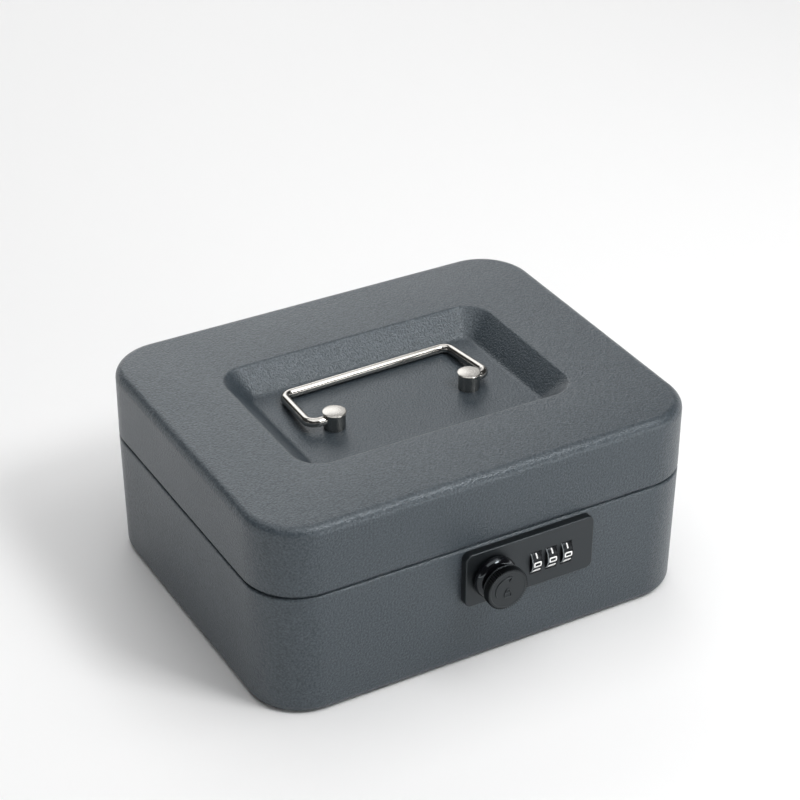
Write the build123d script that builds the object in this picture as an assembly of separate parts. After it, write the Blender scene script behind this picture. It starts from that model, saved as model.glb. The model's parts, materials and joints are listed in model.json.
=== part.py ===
from build123d import *
from math import cos, pi, radians, sin
import os

# Cash box with a carrying handle and a three-dial combination lock. Millimetres.
# X runs along the front, Y towards the hinges, Z up. The origin is the middle of the base.

# Outer size of the closed box
WIDTH = 200.0
DEPTH = 160.0
HEIGHT = 88.4
PARTING = 57.9              # height of the lid's lower edge
CORNER = 23.5               # plan radius of the four corners
SHEET = 1.0                 # pressed steel sheet
SIDE_DRAFT = 1.1            # each side of the case leans in by this much towards its base
BASE_ROUND = 4.0
LID_ROUND = 4.3
RUNNING = 0.05              # radial clearance of a running fit

# Stepped rim of the case, which the lid drops over
PARTING_GAP = 1.4
SHOULDER = PARTING - PARTING_GAP
RIM_INSET = 1.3
RIM_TOP = 64.0
SHOULDER_ROUND = 1.2

# Recessed pan in the lid's top
PAN_DEPTH = 10.0
PAN_WIDTH = 128.4
PAN_LENGTH = 82.9
PAN_Y = -0.25
PAN_FLOOR_WIDTH = 106.8
PAN_FLOOR_LENGTH = 60.9
PAN_CORNER = 12.5
PAN_FLOOR_CORNER = 4.5
PAN_LIP_ROUND = 0.8
PAN_FLOOR_ROUND = 1.6
PAN_WALL_SPREAD = 0.5       # widens the underside so that the sloped walls keep their thickness
EDGE_TOLERANCE = 0.01       # an edge this near a height lies on it
PAN_FLOOR = HEIGHT - PAN_DEPTH

# Handle posts and the wire bail between them
POST_X = 32.1
POST_Y = -5.6
POST_RADIUS = 4.65
POST_TOP = HEIGHT - 2.0
CAP_RADIUS = 5.0
CAP_HEIGHT = 0.9
CAP_CHAMFER = 0.3
WIRE_RADIUS = 2.0
PIVOT_Z = HEIGHT - 5.5
WIRE_END_X = 29.6           # the wire's ends stop this far from the middle, inside the posts
WIRE_HOLE_END = 29.2
BAIL_BEND = 4.3
BAIL_SHIFT = -1.15          # the bail sits a little to one side, by the play between the posts
FOOT_SPREAD = 42.35         # half the bail's width at the pivot
BAR_SPREAD = 40.35          # half the bail's width at the grip bar
BAR_SHIFT = -0.95
LEG_REACH = 29.95           # from the pivot axis to the grip bar
LEG_UNEVEN = 1.05           # one leg is bent this much longer, the other this much shorter
FLOOR_GAP = 0.03
POST_SCREW_RADIUS = 1.5
POST_SCREW_HEAD = 2.75
POST_SCREW_HEAD_HEIGHT = 1.8
POST_SCREW_DEPTH = 2.2
POST_SCREW_CROSS = (1.8, 0.4, 0.8)      # half length, half width and depth of the recess
WASHER_RADIUS = 4.5
WASHER_HEIGHT = 0.8

# Hinges on the rear wall, one near each corner
HINGE_X = 60.0
HINGE_WIDTH = 36.0
KNUCKLE_WIDTH = 10.0
KNUCKLE_GAP = 0.2
KNUCKLE_RADIUS = 2.2
LEAF_THICKNESS = 1.1
LEAF_HEIGHT = 14.0
LEAF_CLEARANCE = 3.4        # a leaf is cut back this far from the axis beside the other's knuckle
PIN_RADIUS = 1.2
PIN_HEAD_RADIUS = 1.8
PIN_HEAD = 0.8
HINGE_STANDOFF = 2.3
HINGE_Y = DEPTH / 2 + HINGE_STANDOFF
HINGE_Z = PARTING

# Lock plate on the front wall
FRONT = -DEPTH / 2
PLATE_LEFT = -15.1
PLATE_RIGHT = 45.2
PLATE_LOW = 30.2
PLATE_HIGH = 55.3
PLATE_THICKNESS = 3.5
PLATE_CORNER = 3.0
PLATE_EDGE = 0.45
PLATE_SKIN = 2.0            # left over the pockets in the plate's back
PLATE_FACE = FRONT - PLATE_THICKNESS
POCKET_FLOOR = PLATE_FACE + PLATE_SKIN

# Knob, spindle and eccentric, which turn about one axis
KNOB_X = -2.7
KNOB_Z = 42.75
KNOB_RADIUS = 9.4
KNOB_ROOT = 8.6             # radius at the bottom of the knurl's grooves
KNOB_RIDGES = 60
KNOB_FACE = -95.4
KNOB_BACK = -91.2
KNOB_CHAMFER = 0.15
COLLAR_RADIUS = 9.5
COLLAR_SHOULDER = -88.7
COLLAR_ROUND = 1.8
COLLAR_FOOT_ROUND = 1.4
COLLAR_NECK = 7.8
COLLAR_FRONT = -90.9
SPINDLE_RADIUS = 2.5
SPINDLE_FRONT = -94.0
SPINDLE_SQUARE = 3.4
STUD_RADIUS = 1.5
STUD_END = -69.4
KNOB_TURN = 90.0

# Number dials, on an axis along X
DIAL_COUNT = 3
DIAL_X = 17.55              # middle of the first dial
DIAL_PITCH = 7.3
DIAL_WIDTH = 4.9
DIAL_RADIUS = 6.3
DIAL_Y = -79.2
DIAL_Z = 41.7
DIAL_BORE = 5.0
DIAL_NUMBERS = 10
DIAL_CHAMFER = 0.25
FLUTE_RADIUS = 0.55
FLUTE_DEPTH = 0.2
SLOT_WIDTH = 5.3
SLOT_HEIGHT = 10.4
SLOT_RELIEF = 0.2           # radial clearance round a dial where it passes the plate and the wall

# Code sleeves and the finned bolt that slides through them
SLEEVE_INNER = 4.0
FLANGE_START = 1.6          # from the dial's left face
FLANGE_WIDTH = 1.2
BOLT_RADIUS = 1.5
FIN_REACH = 3.4
FIN_HEIGHT = 1.5
FIN_THICKNESS = 0.9
FIN_GAP = 0.3               # between a fin and its flange at either end of the travel
KEYWAY_HEIGHT = 1.9
KEYWAY_REACH = 3.65
BOLT_TRAVEL = FIN_THICKNESS + FLANGE_WIDTH + 2 * FIN_GAP
BOLT_RIGHT = 38.6
THROW = BOLT_TRAVEL / (2 * sin(radians(KNOB_TURN / 2)))
ECCENTRIC_RADIUS = 4.8
ECCENTRIC_FRONT = -81.3
ECCENTRIC_BACK = -79.2
YOKE_CLEARANCE = 0.12
YOKE_BAR = 1.3
YOKE_FRONT = -81.2
YOKE_BACK = -79.3

# Lock body behind the front wall, and its cover
WALL_INSIDE = FRONT + SHEET
BODY_LOW = 31.0
BODY_HIGH = 55.2
BODY_BACK = -66.0
BODY_WALL = 1.6
BODY_FRONT_WALL = 1.6
COVER_THICKNESS = 1.0
DIVIDER_X = 8.0
DIVIDER_WIDTH = 1.4
EAR_WIDTH = 2.0
EAR_FRONT = -81.0
EAR_LOW = 34.8
EAR_HIGH = 48.6
SCREW_XS = (-13.0, 10.5, 41.5)
SCREW_ZS = (34.0, 51.3)
SCREW_RADIUS = 1.1
SCREW_HEAD_RADIUS = 2.1
SCREW_HEAD_HEIGHT = 1.4
SCREW_END = -82.0
SCREW_CROSS = (1.4, 0.3, 0.7)
BOSS_RADIUS = 2.2

# Openings in the front wall behind the plate
YOKE_OPENING = (-10.9, 5.5, 33.9, 48.3)
DIAL_OPENING = (12.3, 39.0, 34.6, 48.8)
DIAL_OPENING_BACK = (12.3, 39.0, 35.3, 48.1)
BOLT_OPENING = (5.4, 12.4, 39.9, 43.5)
BOLT_OPENING_BACK = (0.3, 12.4, 39.9, 43.5)

# Latch cam on the spindle, and the strike that hangs from the lid
LATCH_FRONT = -74.65
LATCH_THICKNESS = 2.0
HUB_RADIUS = 3.9
ARM_ROOT = 3.4              # the arm starts inside the hub
FINGER_INNER = 7.4
FINGER_OUTER = 9.6
FINGER_LEAD = 25.0          # from upright to the finger's leading end, unlocked
ARM_LEAD = 108.0            # from upright to the arm's leading side, unlocked
ARM_TRAIL = 130.0
FINGER_TRAIL = 109.0        # the finger ends inside the arm
NUT_FLATS = 5.0
NUT_HEIGHT = 2.2
STRIKE_THICKNESS = 1.5
STRIKE_FRONT = -76.8
STRIKE_BACK = -70.5
STRIKE_LOW = 47.4
STRIKE_SLOT_LOW = 49.2
STRIKE_SLOT_HIGH = 54.2
STRIKE_BAR = 1.0
STRIKE_WELD = 1.2           # thickness of the flange on the lid's wall
STRIKE_SHOULDER = 65.2
STRIKE_TOP = 79.0
STRIKE_WEB_TOP = 73.0
FLANGE_HALF_WIDTH = 8.0
STRIKE_SLOT_CLEARANCE = 1.0

# Detent spring and code change lever
SPRING_THICKNESS = 0.4
SPRING_FINGER_WIDTH = 3.4
SPRING_GAP = 0.1
SPRING_FOOT = (-71.5, -68.0)            # Y range of the strip that the fingers rise from
SPRING_KNEE = (-68.0, 36.5)             # Y and Z where a finger leans forward
SPRING_TIP = (-70.6, 44.6)
LEVER_X = 24.85
LEVER_Z = 45.5
LEVER_TRAVEL = 4.0
LEVER_NECK = 3.0
LEVER_PLATE = 9.0
LEVER_PLATE_HEIGHT = 6.0
LEVER_PLATE_THICKNESS = 1.0
LEVER_HEIGHT = 2.6
LEVER_TAB = 2.6
LEVER_CLEARANCE = 0.2

# Coin tray, which hangs by its flange on the case's rim
TRAY_FLANGE = 1.6
TRAY_FLANGE_INSET = 1.6     # from the outside of the box
TRAY_BODY_INSET = 3.8
TRAY_LOW = 36.0
TRAY_WALL = 1.5
TRAY_NOTCH_LEFT = -17.5
TRAY_NOTCH_RIGHT = 47.5
TRAY_NOTCH_BACK = -59.5
TRAY_ROW_Y = 6.0
TRAY_SCOOP = 14.0
TRAY_POCKET_ROUND = 3.0
GRAB_RADIUS = 3.0
GRAB_Y = -27.0
GRAB_Z = 60.5
GRAB_SOCKET = 0.75
TRAY_CUPS = 3


def plan_prism(inset, low, high, inset_low_x=None):
    """Upright prism with the box's plan outline, drawn in by an inset; its sides may lean."""
    top = RectangleRounded(WIDTH - 2 * inset, DEPTH - 2 * inset, CORNER - inset)
    if inset_low_x is None:
        return extrude(Pos(0, 0, low) * top, high - low)
    foot = RectangleRounded(WIDTH - 2 * inset_low_x, DEPTH - 2 * inset, CORNER - inset)
    return loft([Pos(0, 0, low) * foot, Pos(0, 0, high) * top])


def around(middle, half):
    """Ends of a range that reaches equally far either way."""
    return middle - half, middle + half


def box_between(x0, x1, y0, y1, z0, z1):
    """Block between two opposite corners."""
    centre = Pos((x0 + x1) / 2, (y0 + y1) / 2, (z0 + z1) / 2)
    return centre * Box(x1 - x0, y1 - y0, z1 - z0)


def rod_x(radius, x0, x1, y, z):
    """Cylinder along X."""
    return Pos((x0 + x1) / 2, y, z) * Rot(0, 90, 0) * Cylinder(radius, x1 - x0)


def rod_y(radius, y0, y1, x, z):
    """Cylinder along Y."""
    return Pos(x, (y0 + y1) / 2, z) * Rot(90, 0, 0) * Cylinder(radius, y1 - y0)


def rod_z(radius, z0, z1, x, y):
    """Cylinder along Z."""
    return Pos(x, y, (z0 + z1) / 2) * Cylinder(radius, z1 - z0)


def dial_left(index):
    """Left face of a dial."""
    return DIAL_X + index * DIAL_PITCH - DIAL_WIDTH / 2


def case_shell():
    """Lower half of the box, with the stepped rim and the openings for the lock."""
    outer = plan_prism(0, 0, SHOULDER, SIDE_DRAFT)
    outer = fillet(outer.faces().sort_by(Axis.Z)[0].edges(), BASE_ROUND)
    outer = fillet(outer.faces().sort_by(Axis.Z)[-1].edges(), SHOULDER_ROUND)
    outer += plan_prism(RIM_INSET, SHOULDER - SHEET, RIM_TOP)
    ledge = SHOULDER - SHEET
    inner = plan_prism(SHEET, SHEET, ledge, SIDE_DRAFT + SHEET)
    inner = fillet(inner.faces().sort_by(Axis.Z)[0].edges(), BASE_ROUND - SHEET)
    shell = outer - inner - plan_prism(RIM_INSET + SHEET, ledge, RIM_TOP)
    for x0, x1, z0, z1 in (YOKE_OPENING, DIAL_OPENING, BOLT_OPENING):
        shell -= box_between(x0, x1, FRONT - SHEET, WALL_INSIDE + SHEET, z0, z1)
    for x in SCREW_XS:
        for z in SCREW_ZS:
            shell -= rod_y(SCREW_RADIUS, FRONT - SHEET, WALL_INSIDE + SHEET, x, z)
    return shell


def pan_pocket(spread, drop):
    """Tapered pocket of the lid's pan; spread widens it and drop lowers it."""
    floor_z = PAN_FLOOR - drop
    floor = RectangleRounded(PAN_FLOOR_WIDTH + 2 * spread, PAN_FLOOR_LENGTH + 2 * spread, PAN_FLOOR_CORNER)
    mouth = RectangleRounded(PAN_WIDTH + 2 * spread, PAN_LENGTH + 2 * spread, PAN_CORNER)
    pocket = loft([Pos(0, PAN_Y, floor_z) * floor, Pos(0, PAN_Y, HEIGHT - drop) * mouth])
    return fillet(pocket.faces().sort_by(Axis.Z)[0].edges(), PAN_FLOOR_ROUND + drop)


def lid_shell():
    """Lid with its pan, and the holes that the handle posts' screws pass."""
    outer = plan_prism(0, PARTING, HEIGHT)
    outer = fillet(outer.faces().sort_by(Axis.Z)[-1].edges(), LID_ROUND)
    inner = plan_prism(SHEET, PARTING, HEIGHT - SHEET)
    inner = fillet(inner.faces().sort_by(Axis.Z)[-1].edges(), LID_ROUND - SHEET)
    shell = outer - inner + pan_pocket(PAN_WALL_SPREAD, SHEET) - pan_pocket(0, 0)
    lip = shell.edges().filter_by_position(Axis.Z, HEIGHT - EDGE_TOLERANCE, HEIGHT + EDGE_TOLERANCE)
    lip = lip.filter_by(lambda edge: abs(edge.center().X) < PAN_WIDTH / 2 + SHEET
                        and abs(edge.center().Y - PAN_Y) < PAN_LENGTH / 2 + SHEET)
    shell = fillet(lip, PAN_LIP_ROUND)
    for side in (-1, 1):
        shell -= rod_z(POST_SCREW_RADIUS, PAN_FLOOR - 2 * SHEET, HEIGHT, side * POST_X, POST_Y)
    return shell


def handle_post(side):
    """Stud with a flat cap; the bail's end turns in its blind cross hole."""
    cap = rod_z(CAP_RADIUS, POST_TOP - CAP_HEIGHT, POST_TOP, side * POST_X, POST_Y)
    cap = chamfer(cap.faces().sort_by(Axis.Z)[-1].edges(), CAP_CHAMFER)
    post = cap + rod_z(POST_RADIUS, PAN_FLOOR, POST_TOP - CAP_HEIGHT, side * POST_X, POST_Y)
    outside = side * (POST_X + CAP_RADIUS)
    ends = sorted((side * WIRE_HOLE_END, outside))
    post -= rod_x(WIRE_RADIUS + RUNNING, ends[0], ends[1], POST_Y, PIVOT_Z)
    return post - rod_z(POST_SCREW_RADIUS, PAN_FLOOR, PAN_FLOOR + POST_SCREW_DEPTH, side * POST_X, POST_Y)


def bail():
    """Bent wire handle, folded back so that its bar lies on the pan's floor."""
    longest = LEG_REACH + LEG_UNEVEN
    fall = (PIVOT_Z - PAN_FLOOR - WIRE_RADIUS - FLOOR_GAP) / longest

    def on_plane(x, reach):
        return (x, POST_Y + reach, PIVOT_Z - fall * reach)

    corners = [
        on_plane(-WIRE_END_X, 0),
        on_plane(BAIL_SHIFT - FOOT_SPREAD, 0),
        on_plane(BAR_SHIFT - BAR_SPREAD, LEG_REACH - LEG_UNEVEN),
        on_plane(BAR_SHIFT + BAR_SPREAD, longest),
        on_plane(BAIL_SHIFT + FOOT_SPREAD, 0),
        on_plane(WIRE_END_X, 0),
    ]
    path = FilletPolyline(*corners, radius=BAIL_BEND)
    section = Plane(origin=path @ 0, z_dir=path % 0) * Circle(WIRE_RADIUS)
    return sweep(section, path=path)


def cross_recess(half_length, half_width, depth):
    """Cross-shaped recess for a screw's head, sunk from the origin in -Z."""
    cross = Box(2 * half_length, 2 * half_width, depth) + Box(2 * half_width, 2 * half_length, depth)
    return Pos(0, 0, -depth / 2) * cross


def post_screws():
    """Two screws, driven up into the posts from inside the lid."""
    head_top = PAN_FLOOR - SHEET - WASHER_HEIGHT
    screws = []
    for side in (-1, 1):
        x = side * POST_X
        head = rod_z(POST_SCREW_HEAD, head_top - POST_SCREW_HEAD_HEIGHT, head_top, x, POST_Y)
        head = fillet(head.faces().sort_by(Axis.Z)[0].edges(), POST_SCREW_HEAD_HEIGHT / 2)
        underside = Pos(x, POST_Y, head_top - POST_SCREW_HEAD_HEIGHT)
        recess = underside * Rot(180, 0, 0) * cross_recess(*POST_SCREW_CROSS)
        shank = rod_z(POST_SCREW_RADIUS, head_top, PAN_FLOOR + POST_SCREW_DEPTH, x, POST_Y)
        screws.append(head - recess + shank)
    return Compound(children=screws)


def post_washers():
    """Washers between the post screws' heads and the sheet."""
    top = PAN_FLOOR - SHEET
    rings = []
    for side in (-1, 1):
        ring = rod_z(WASHER_RADIUS, top - WASHER_HEIGHT, top, side * POST_X, POST_Y)
        rings.append(ring - rod_z(POST_SCREW_RADIUS, 0, HEIGHT, side * POST_X, POST_Y))
    return Compound(children=rings)


def hinge_knuckles(x, on_case):
    """X ranges of the knuckles of one leaf."""
    left = x - HINGE_WIDTH / 2
    right = x + HINGE_WIDTH / 2
    if on_case:
        return [(left, left + KNUCKLE_WIDTH), (right - KNUCKLE_WIDTH, right)]
    margin = KNUCKLE_WIDTH + KNUCKLE_GAP
    return [(left + margin, right - margin)]


def hinge_leaf(x, on_case):
    """Sheet leaf with rolled knuckles, welded to the rear wall of the case or the lid."""
    down = -1 if on_case else 1
    wall = DEPTH / 2
    near = HINGE_Z + down * LEAF_CLEARANCE
    height = sorted((near, HINGE_Z + down * LEAF_HEIGHT))
    leaf = box_between(*around(x, HINGE_WIDTH / 2), wall, wall + LEAF_THICKNESS, *height)
    bore = PIN_RADIUS if on_case else PIN_RADIUS + RUNNING
    for x0, x1 in hinge_knuckles(x, on_case):
        leaf += box_between(x0, x1, wall, wall + LEAF_THICKNESS, min(HINGE_Z, near), max(HINGE_Z, near))
        leaf += rod_x(KNUCKLE_RADIUS, x0, x1, HINGE_Y, HINGE_Z)
    return leaf - rod_x(bore, *around(x, HINGE_WIDTH / 2), HINGE_Y, HINGE_Z)


def hinge_leaves(on_case):
    """Both hinges' leaves on one half of the box."""
    return Compound(children=[hinge_leaf(side * HINGE_X, on_case) for side in (-1, 1)])


def hinge_pins():
    """Pins with peened ends."""
    pins = []
    for side in (-1, 1):
        left = side * HINGE_X - HINGE_WIDTH / 2
        right = left + HINGE_WIDTH
        pin = rod_x(PIN_RADIUS, left, right, HINGE_Y, HINGE_Z)
        pin += rod_x(PIN_HEAD_RADIUS, left - PIN_HEAD, left, HINGE_Y, HINGE_Z)
        pins.append(pin + rod_x(PIN_HEAD_RADIUS, right, right + PIN_HEAD, HINGE_Y, HINGE_Z))
    return Compound(children=pins)


def lock_plate():
    """Moulded plate on the front wall, with slots for the dials and pockets in its back."""
    width = PLATE_RIGHT - PLATE_LEFT
    height = PLATE_HIGH - PLATE_LOW
    middle = Pos((PLATE_LEFT + PLATE_RIGHT) / 2, FRONT, (PLATE_LOW + PLATE_HIGH) / 2)
    outline = middle * Rot(90, 0, 0) * RectangleRounded(width, height, PLATE_CORNER)
    plate = extrude(outline, PLATE_THICKNESS)
    plate = fillet(plate.faces().sort_by(Axis.Y)[0].edges(), PLATE_EDGE)
    for x0, x1, z0, z1 in (YOKE_OPENING, DIAL_OPENING, BOLT_OPENING):
        plate -= box_between(x0, x1, POCKET_FLOOR, FRONT, z0, z1)
    for index in range(DIAL_COUNT):
        x = DIAL_X + index * DIAL_PITCH
        slot = around(x, SLOT_WIDTH / 2)
        plate -= box_between(*slot, PLATE_FACE, POCKET_FLOOR, *around(DIAL_Z, SLOT_HEIGHT / 2))
        plate -= rod_x(DIAL_RADIUS + SLOT_RELIEF, *slot, DIAL_Y, DIAL_Z)
    plate -= rod_y(SPINDLE_RADIUS + RUNNING, PLATE_FACE, FRONT, KNOB_X, KNOB_Z)
    for x in SCREW_XS:
        for z in SCREW_ZS:
            plate -= rod_y(SCREW_RADIUS, SCREW_END, FRONT, x, z)
    return plate


def knob_collar():
    """Smooth rounded ring that stands on the plate, with a neck that reaches to the knob."""
    ring = rod_y(COLLAR_RADIUS, COLLAR_SHOULDER, PLATE_FACE, KNOB_X, KNOB_Z)
    ring = fillet(ring.faces().sort_by(Axis.Y)[0].edges(), COLLAR_ROUND)
    ring = fillet(ring.faces().sort_by(Axis.Y)[-1].edges(), COLLAR_FOOT_ROUND)
    neck = rod_y(COLLAR_NECK, COLLAR_FRONT, PLATE_FACE, KNOB_X, KNOB_Z)
    return ring + neck - rod_y(SPINDLE_RADIUS + RUNNING, COLLAR_FRONT, PLATE_FACE, KNOB_X, KNOB_Z)


def knob():
    """Knurled knob with a flat face, on the spindle's front end."""
    points = []
    for index in range(2 * KNOB_RIDGES):
        radius = KNOB_RADIUS if index % 2 else KNOB_ROOT
        angle = index * pi / KNOB_RIDGES
        points.append((KNOB_X + radius * cos(angle), KNOB_BACK, KNOB_Z + radius * sin(angle)))
    outline = make_face(Polyline(*points, close=True))
    body = extrude(outline, KNOB_BACK - KNOB_FACE, dir=(0, -1, 0))
    blank = rod_y(KNOB_RADIUS, KNOB_FACE, KNOB_BACK, KNOB_X, KNOB_Z)
    body = body & chamfer(blank.edges().filter_by(GeomType.CIRCLE), KNOB_CHAMFER)
    return body - rod_y(SPINDLE_RADIUS, SPINDLE_FRONT, KNOB_BACK, KNOB_X, KNOB_Z)


def knob_spindle():
    """Round spindle with a square seat and a stud for the latch cam."""
    square_back = LATCH_FRONT + LATCH_THICKNESS
    half = SPINDLE_SQUARE / 2
    spindle = rod_y(SPINDLE_RADIUS, SPINDLE_FRONT, LATCH_FRONT, KNOB_X, KNOB_Z)
    spindle += box_between(*around(KNOB_X, half), LATCH_FRONT, square_back, *around(KNOB_Z, half))
    return spindle + rod_y(STUD_RADIUS, square_back, STUD_END, KNOB_X, KNOB_Z)


def eccentric_centre():
    """Middle of the eccentric with the lock open, below and to the right of the spindle."""
    swing = radians(KNOB_TURN / 2)
    return KNOB_X + THROW * sin(swing), KNOB_Z - THROW * cos(swing)


def drive_eccentric():
    """Round cam, off centre on the spindle, which drives the bolt's yoke."""
    x, z = eccentric_centre()
    disc = rod_y(ECCENTRIC_RADIUS, ECCENTRIC_FRONT, ECCENTRIC_BACK, x, z)
    return disc - rod_y(SPINDLE_RADIUS, ECCENTRIC_FRONT, ECCENTRIC_BACK, KNOB_X, KNOB_Z)


def latch_sector(inner, outer, start, end):
    """Ring sector in the latch's plane; angles run from upright towards -X."""
    def at(radius, angle):
        turn = radians(angle)
        return (KNOB_X - radius * sin(turn), LATCH_FRONT, KNOB_Z + radius * cos(turn))

    middle = (start + end) / 2
    outline = [
        ThreePointArc(at(outer, start), at(outer, middle), at(outer, end)),
        Line(at(outer, end), at(inner, end)),
        ThreePointArc(at(inner, end), at(inner, middle), at(inner, start)),
        Line(at(inner, start), at(outer, start)),
    ]
    return extrude(make_face(Wire(outline)), LATCH_THICKNESS, dir=(0, 1, 0))


def latch_cam():
    """Hub, arm and hooked finger; the finger passes through the strike's slot."""
    hub_back = LATCH_FRONT + LATCH_THICKNESS
    cam = rod_y(HUB_RADIUS, LATCH_FRONT, hub_back, KNOB_X, KNOB_Z)
    cam += latch_sector(ARM_ROOT, FINGER_OUTER, ARM_LEAD, ARM_TRAIL)
    cam += latch_sector(FINGER_INNER, FINGER_OUTER, FINGER_LEAD, FINGER_TRAIL)
    half = SPINDLE_SQUARE / 2
    return cam - box_between(*around(KNOB_X, half), LATCH_FRONT, hub_back, *around(KNOB_Z, half))


def cam_nut():
    """Hexagon nut behind the latch cam."""
    front = LATCH_FRONT + LATCH_THICKNESS
    hexagon = RegularPolygon(NUT_FLATS / 2, 6, major_radius=False)
    nut = extrude(Pos(KNOB_X, front, KNOB_Z) * Rot(-90, 0, 0) * hexagon, NUT_HEIGHT)
    return nut - rod_y(STUD_RADIUS, front, front + NUT_HEIGHT, KNOB_X, KNOB_Z)


def dial_wheel(index):
    """Number wheel with ten shallow flutes between its numbers."""
    left = dial_left(index)
    wheel = rod_x(DIAL_RADIUS, left, left + DIAL_WIDTH, DIAL_Y, DIAL_Z)
    wheel = chamfer(wheel.edges().filter_by(GeomType.CIRCLE), DIAL_CHAMFER)
    flute_centre = DIAL_RADIUS + FLUTE_RADIUS - FLUTE_DEPTH
    for number in range(DIAL_NUMBERS):
        angle = 2 * pi * (number + 0.5) / DIAL_NUMBERS
        y = DIAL_Y - flute_centre * cos(angle)
        z = DIAL_Z + flute_centre * sin(angle)
        wheel -= rod_x(FLUTE_RADIUS, left, left + DIAL_WIDTH, y, z)
    return wheel - rod_x(DIAL_BORE, left, left + DIAL_WIDTH, DIAL_Y, DIAL_Z)


def code_sleeve(index):
    """Ring inside a dial, with a flange that only lets the bolt's fin through at its keyway."""
    left = dial_left(index)
    flange = left + FLANGE_START
    sleeve = rod_x(DIAL_BORE, left, left + DIAL_WIDTH, DIAL_Y, DIAL_Z)
    sleeve -= rod_x(SLEEVE_INNER, left, flange, DIAL_Y, DIAL_Z)
    sleeve -= rod_x(SLEEVE_INNER, flange + FLANGE_WIDTH, left + DIAL_WIDTH, DIAL_Y, DIAL_Z)
    sleeve -= rod_x(BOLT_RADIUS + RUNNING, left, left + DIAL_WIDTH, DIAL_Y, DIAL_Z)
    keyway = around(DIAL_Z, KEYWAY_HEIGHT / 2)
    return sleeve - box_between(left, left + DIAL_WIDTH, DIAL_Y, DIAL_Y + KEYWAY_REACH, *keyway)


def code_bolt():
    """Shaft with a fin for each dial and a yoke round the eccentric; it slides along X."""
    centre_x, centre_z = eccentric_centre()
    reach = ECCENTRIC_RADIUS + YOKE_CLEARANCE
    top = centre_z + reach
    bottom = KNOB_Z - THROW - reach
    outside = around(centre_x, reach + YOKE_BAR)
    yoke = box_between(*outside, YOKE_FRONT, YOKE_BACK, bottom - YOKE_BAR, top + YOKE_BAR)
    yoke -= box_between(*around(centre_x, reach), YOKE_FRONT, YOKE_BACK, bottom, top)
    bolt = rod_x(BOLT_RADIUS, centre_x + reach, BOLT_RIGHT, DIAL_Y, DIAL_Z)
    for index in range(DIAL_COUNT):
        fin = dial_left(index) + FLANGE_START + FLANGE_WIDTH + FIN_GAP
        height = around(DIAL_Z, FIN_HEIGHT / 2)
        bolt += box_between(fin, fin + FIN_THICKNESS, DIAL_Y, DIAL_Y + FIN_REACH, *height)
    return yoke + bolt


def lock_body():
    """Die-cast body behind the front wall, open at the back, with ears that carry the bolt."""
    floor = WALL_INSIDE + BODY_FRONT_WALL
    body = box_between(PLATE_LEFT, PLATE_RIGHT, WALL_INSIDE, BODY_BACK, BODY_LOW, BODY_HIGH)
    inside_z = (BODY_LOW + BODY_WALL, BODY_HIGH - BODY_WALL)
    body -= box_between(PLATE_LEFT + BODY_WALL, DIVIDER_X, floor, BODY_BACK, *inside_z)
    body -= box_between(DIVIDER_X + DIVIDER_WIDTH, PLATE_RIGHT - BODY_WALL, floor, BODY_BACK, *inside_z)
    for x in SCREW_XS:
        for z in SCREW_ZS:
            body += rod_y(BOSS_RADIUS, floor, BODY_BACK, x, z)
    body = body & box_between(PLATE_LEFT, PLATE_RIGHT, WALL_INSIDE, BODY_BACK, BODY_LOW, BODY_HIGH)
    for x0, x1, z0, z1 in (DIAL_OPENING_BACK, BOLT_OPENING_BACK):
        body -= box_between(x0, x1, WALL_INSIDE, floor, z0, z1)
    for index in range(DIAL_COUNT + 1):
        body += bolt_ear(dial_left(index) - (DIAL_PITCH - DIAL_WIDTH) / 2)
    body -= rod_y(SPINDLE_RADIUS + RUNNING, WALL_INSIDE, floor, KNOB_X, KNOB_Z)
    slot = around(KNOB_X, STRIKE_THICKNESS / 2 + STRIKE_SLOT_CLEARANCE)
    slot_back = STRIKE_BACK + STRIKE_SLOT_CLEARANCE
    body -= box_between(*slot, floor, slot_back, BODY_HIGH - BODY_WALL, BODY_HIGH)
    for x in SCREW_XS:
        for z in SCREW_ZS:
            body -= rod_y(SCREW_RADIUS, WALL_INSIDE, BODY_BACK, x, z)
    return body


def bolt_ear(x):
    """Web beside a dial with a slot, open to the front, that the bolt slides in."""
    back = DIAL_Y + DIAL_RADIUS
    sides = around(x, EAR_WIDTH / 2)
    ear = box_between(*sides, EAR_FRONT, back, EAR_LOW, EAR_HIGH)
    slot = BOLT_RADIUS + RUNNING
    ear -= rod_x(slot, *sides, DIAL_Y, DIAL_Z)
    ear -= box_between(*sides, EAR_FRONT, DIAL_Y, *around(DIAL_Z, slot))
    return ear - box_between(*sides, DIAL_Y, DIAL_Y + KEYWAY_REACH, *around(DIAL_Z, KEYWAY_HEIGHT / 2))


def lock_cover():
    """Steel plate on the back of the lock body, slotted for the code change lever."""
    back = BODY_BACK + COVER_THICKNESS
    cover = box_between(PLATE_LEFT, PLATE_RIGHT, BODY_BACK, back, BODY_LOW, BODY_HIGH)
    cover = fillet(cover.edges().filter_by(Axis.Y), PLATE_CORNER / 2)
    half_slot = LEVER_NECK / 2 + LEVER_CLEARANCE
    height = around(LEVER_Z, LEVER_HEIGHT / 2 + LEVER_CLEARANCE)
    cover -= box_between(LEVER_X - half_slot, LEVER_X + LEVER_TRAVEL + half_slot, BODY_BACK, back, *height)
    for x in SCREW_XS:
        for z in SCREW_ZS:
            cover -= rod_y(SCREW_RADIUS, BODY_BACK, back, x, z)
    return cover


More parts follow.
